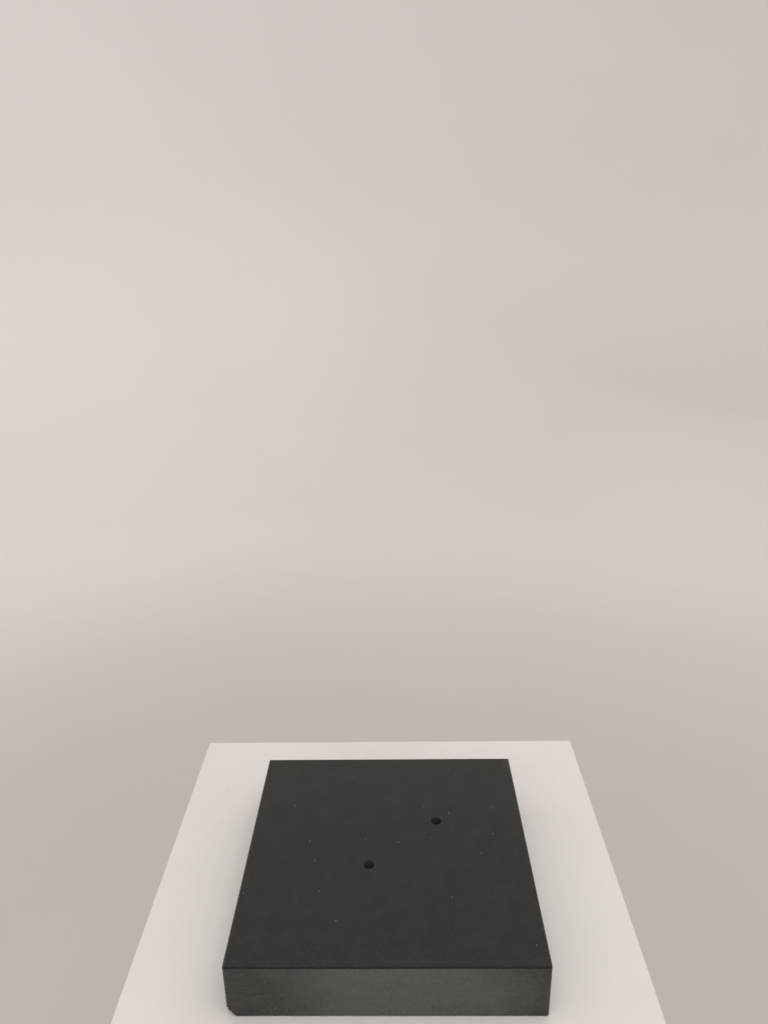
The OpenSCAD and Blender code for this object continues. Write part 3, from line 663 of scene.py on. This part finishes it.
def empty_sack(name, centre, seed):
    """Two cloths joined all round, slightly parted. Returns the piece and the vertices of its end seams."""
    bm = bmesh.new()
    grid = {}
    for side in (1, -1):
        for i in range(ACROSS + 1):
            for j in range(ALONG + 1):
                edge = i in (0, ACROSS) or j in (0, ALONG)
                if edge and side < 0:
                    grid[side, i, j] = grid[1, i, j]
                    continue
                u, v = i / ACROSS * 2 - 1, j / ALONG * 2 - 1
                parted = 0.0 if edge else 0.003 + 0.020 * (1 - u * u) * (1 - v * v)
                crease = 0.0 if edge else 0.0025 * noise.noise(Vector((u * 2.5 + seed, v * 4.8, side * 3.0)))
                x = centre.x + u * CLOTH_W / 2 * (1 - 0.15 * v ** 6)
                y = centre.y + v * CLOTH_L / 2 * (1 - 0.015 * u ** 6)
                grid[side, i, j] = bm.verts.new((x, y, centre.z + side * parted + crease))
    for side in (1, -1):
        for i in range(ACROSS):
            for j in range(ALONG):
                quad = [grid[side, i, j], grid[side, i + 1, j], grid[side, i + 1, j + 1], grid[side, i, j + 1]]
                bm.faces.new(quad[::side])
    bm.verts.index_update()
    seams = [[grid[1, i, j].index for i in range(ACROSS + 1)] for j in (0, ALONG)]
    sack = add_piece(name, mesh_from(name, bm), "plinth", "canvas", CANVAS, THREAD)
    return sack, seams


def press_plate(height, up):
    """A still surface that the cloth can't pass."""
    bm = bmesh.new()
    corners = [bm.verts.new((x, y, height)) for x, y in ((-0.5, -0.5), (0.5, -0.5), (0.5, 0.5), (-0.5, 0.5))]
    bm.faces.new(corners[::up])
    mesh = bpy.data.meshes.new("press_plate")
    bm.to_mesh(mesh)
    bm.free()
    plate = bpy.data.objects.new("press_plate", mesh)
    SCENE.collection.objects.link(plate)
    plate.modifiers.new("collision", "COLLISION")
    plate.collision.thickness_outer = 0.001
    plate.collision.cloth_friction = 5
    return plate


def inflate(sack, low, high, pressure):
    """Fills the sack by cloth pressure between the surface it lies on and the weight above it."""
    plates = [press_plate(low, 1), press_plate(high, -1)]
    cloth = sack.modifiers.new("cloth", "CLOTH")
    settings = cloth.settings
    settings.quality = 6
    settings.mass = 0.02
    settings.tension_stiffness = settings.compression_stiffness = 20
    settings.shear_stiffness = 7
    settings.bending_stiffness = 0.15
    settings.tension_damping = settings.compression_damping = 5
    settings.air_damping = 2
    settings.use_pressure = True
    settings.uniform_pressure_force = pressure
    settings.effector_weights.gravity = 0
    cloth.collision_settings.distance_min = 0.001
    cloth.collision_settings.collision_quality = 3
    frames = 24
    cloth.point_cache.frame_start = 1
    cloth.point_cache.frame_end = frames
    for step in range(1, frames + 1):
        SCENE.frame_set(step)
    apply_modifiers(sack)
    SCENE.frame_set(1)
    for plate in plates:
        bpy.data.objects.remove(plate)


def settle(sack, low, high, slump):
    """Fits the filled sack into its space. slump lowers the top towards the ends, where no bag presses."""
    mesh = sack.data
    flat = np.zeros(len(mesh.vertices) * 3)
    mesh.vertices.foreach_get("co", flat)
    co = flat.reshape(-1, 3)
    margin = (0.5 * MM, HEM + 0.5 * MM, 0.15 * MM)
    for axis in range(3):
        least, most = co[:, axis].min(), co[:, axis].max()
        room = high[axis] - low[axis] - 2 * margin[axis]
        scale = room / (most - least) if axis == 2 else min(1.0, room / (most - least))
        co[:, axis] = (co[:, axis] - (least + most) / 2) * scale + (low[axis] + high[axis]) / 2
    if slump:
        v = (co[:, 1] - (low.y + high.y) / 2) / ((high.y - low.y) / 2)
        u = (co[:, 0] - (low.x + high.x) / 2) / ((high.x - low.x) / 2)
        share = (co[:, 2] - low.z) / (high.z - low.z)
        co[:, 2] -= slump * share * (np.abs(v) ** 2.5 + 0.35 * np.abs(u) ** 2 + 0.12 * np.sin(5 * v + 2 * u))
        co[:, 2] = np.maximum(co[:, 2], low.z + margin[2])
    mesh.vertices.foreach_set("co", co.ravel())
    mesh.update()


def refine(sack):
    """Doubles the cloth's quads both ways."""
    levels = sack.modifiers.new("refine", "SUBSURF")
    levels.levels = levels.render_levels = 1
    apply_modifiers(sack)


def hem_and_stitches(sack, rims, seed):
    """Adds the two thicknesses of cloth outside each end seam and a row of thread through them."""
    rng = random.Random(seed)
    bm = bmesh.new()
    bm.from_mesh(sack.data)
    for rim, way in zip(rims, (-1, 1)):
        flutter = [0.8 * MM * math.sin(i * 0.55 + seed) + rng.uniform(-0.2, 0.2) * MM for i in range(len(rim))]
        rows = []
        for reach, half in HEM_SECTION:
            bend = max(0.0, reach / HEM)
            rows.append([[p + Vector((0, way * reach, bend * f + side * half)) for p, f in zip(rim, flutter)]
                         for side in (1, -1)])
        section = [row[0] for row in rows] + [row[1] for row in reversed(rows)]
        rings = [[bm.verts.new(p) for p in line] for line in section]
        count = len(rings)
        for k in range(count):
            here, beyond = rings[k], rings[(k + 1) % count]
            for i in range(len(rim) - 1):
                bm.faces.new((here[i], here[i + 1], beyond[i + 1], beyond[i]))
        bm.faces.new([ring[0] for ring in rings])
        bm.faces.new([ring[-1] for ring in rings][::-1])
        sewn_row(bm, rim, flutter, way)
    bmesh.ops.recalc_face_normals(bm, faces=bm.faces)
    bm.to_mesh(sack.data)
    bm.free()


def sewn_row(bm, rim, flutter, way):
    """Stitches lying on both faces of the hem, every gap along it."""
    gap, row_at = 6.0 * MM, HEM * 0.42
    walk = 0.0
    for i in range(1, len(rim)):
        step = (rim[i] - rim[i - 1]).length
        while walk < step:
            share = walk / step
            middle = rim[i - 1].lerp(rim[i], share)
            lift = flutter[i - 1] * (1 - share) + flutter[i] * share
            run = (rim[i] - rim[i - 1]).normalized()
            for side in (1, -1):
                at = middle + Vector((0, way * row_at, 0.42 * lift + side * 0.72 * MM))
                stitch(bm, at, run)
            walk += gap
        walk -= step


def stitch(bm, at, run):
    """One thread of a seam, whose ends sink into the cloth."""
    length, thick, sides = 4.2 * MM, 0.42 * MM, 6
    across = Vector((0, 0, 1)).cross(run).normalized()
    up = run.cross(across)
    rings = []
    for share, size in ((-0.5, 0.25), (-0.38, 0.85), (0.0, 1.0), (0.38, 0.85), (0.5, 0.25)):
        middle = at + run * (length * share) - up * ((1 - size) * 0.6 * thick)
        ring = []
        for k in range(sides):
            angle = 2 * math.pi * k / sides
            ring.append(bm.verts.new(middle + (across * math.cos(angle) + up * math.sin(angle)) * thick * size))
        rings.append(ring)
    faces = [bm.faces.new(rings[0]), bm.faces.new(rings[-1][::-1])]
    for a, b in zip(rings, rings[1:]):
        for k in range(sides):
            j = (k + 1) % sides
            faces.append(bm.faces.new((a[k], b[k], b[j], a[j])))
    for face in faces:
        face.material_index = 1


def sandbags():
    """Four canvas sacks of sand, two on two. The lower ones are pressed flat by the upper ones."""
    for k, (place, pressure, slump) in enumerate(BAGS):
        node = "sandbag_" + place
        low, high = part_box(node)
        sack, seams = empty_sack("sack_" + place, (low + high) / 2, 3 + 7 * k)
        inflate(sack, low.z, high.z, pressure)
        settle(sack, low, high, slump)
        rims = [[sack.data.vertices[i].co.copy() for i in seam] for seam in seams]
        refine(sack)
        hem_and_stitches(sack, rims, 5 + k)
        smooth(sack, 50)
        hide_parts(node)


# ---------------------------------------------------------------- stage, light and camera

def studio():
    """A pale floor that sweeps up all round, a broad overhead light, and weaker ones from front and back."""
    outline = [(0.0, 0.0), (0.35, 0.0), (0.8, 0.0), (1.6, 0.0), (2.4, 0.0)]
    fillet, wall, wall_top = 1.3, 4.6, 4.4
    arc, around = 16, 128
    for i in range(arc + 1):
        angle = math.pi / 2 * i / arc
        outline.append((wall - fillet + fillet * math.sin(angle), fillet - fillet * math.cos(angle)))
    outline.append((wall, wall_top))
    bm = bmesh.new()
    centre = bm.verts.new((0, 0, 0))
    previous = None
    for radius, height in outline[1:]:
        ring = [bm.verts.new((radius * math.cos(2 * math.pi * i / around),
                              radius * math.sin(2 * math.pi * i / around), height)) for i in range(around)]
        for i in range(around):
            j = (i + 1) % around
            bm.faces.new((centre, ring[i], ring[j]) if previous is None
                         else (previous[i], ring[i], ring[j], previous[j]))
        previous = ring
    mesh = mesh_from("studio_floor", bm)
    mesh.materials.append(plaster("studio_floor"))
    floor = bpy.data.objects.new("studio_floor", mesh)
    SCENE.collection.objects.link(floor)
    for polygon in mesh.polygons:
        polygon.use_smooth = True

    world = bpy.data.worlds.new("studio")
    SCENE.world = world
    world.use_nodes = True
    background = world.node_tree.nodes["Background"]
    background.inputs["Color"].default_value = (0.72, 0.70, 0.69, 1)
    background.inputs["Strength"].default_value = 0.81

    aim = Vector((0, 0, 0.5))
    for name, place, size, watts in (("overhead", (0.25, -0.70, 3.2), 2.2, 21),
                                     ("front_fill", (-1.6, -2.9, 2.3), 3.0, 10),
                                     ("back_fill", (1.9, 2.9, 2.2), 3.2, 13)):
        data = bpy.data.lights.new(name, "AREA")
        data.shape = "DISK"
        data.size = size
        data.energy = watts
        data.color = (1.0, 0.975, 0.95)
        lamp = bpy.data.objects.new(name, data)
        SCENE.collection.objects.link(lamp)
        lamp.location = place
        # The slab's polish mirrors the plain studio, not the lamps over it and in front of it.
        lamp.visible_glossy = name == "back_fill"
        lamp.rotation_mode = "QUATERNION"
        lamp.rotation_quaternion = (Vector(place) - aim).to_track_quat("Z", "Y")


def place_camera():
    """Stands where the photographer stood: over the plinth's front edge, looking past its top."""
    yaw, pitch, roll = math.radians(-1.05), math.radians(20.37), math.radians(-1.01)
    forward = Vector((math.sin(yaw) * math.cos(pitch), math.cos(yaw) * math.cos(pitch), -math.sin(pitch)))
    right = Vector((math.cos(yaw), -math.sin(yaw), 0))
    up = right.cross(forward)
    rolled_right = right * math.cos(roll) + up * math.sin(roll)
    rolled_up = up * math.cos(roll) - right * math.sin(roll)
    data = bpy.data.cameras.new("camera")
    data.sensor_width = 36
    data.lens = 27.26
    data.clip_start, data.clip_end = 0.05, 60
    camera = bpy.data.objects.new("camera", data)
    SCENE.collection.objects.link(camera)
    turn = Matrix((rolled_right, rolled_up, -forward)).transposed()
    place = (0.0177, -0.7781, PLINTH_TOP + 0.8087)
    camera.matrix_world = Matrix.Translation(place) @ turn.to_4x4()
    SCENE.camera = camera


# ---------------------------------------------------------------- the scene

place_camera()
studio()
dress_all()
polished_slab()
for corner in CORNERS:
    threaded_spindle(corner)
sandbags()

SCENE.view_settings.view_transform = "Standard"
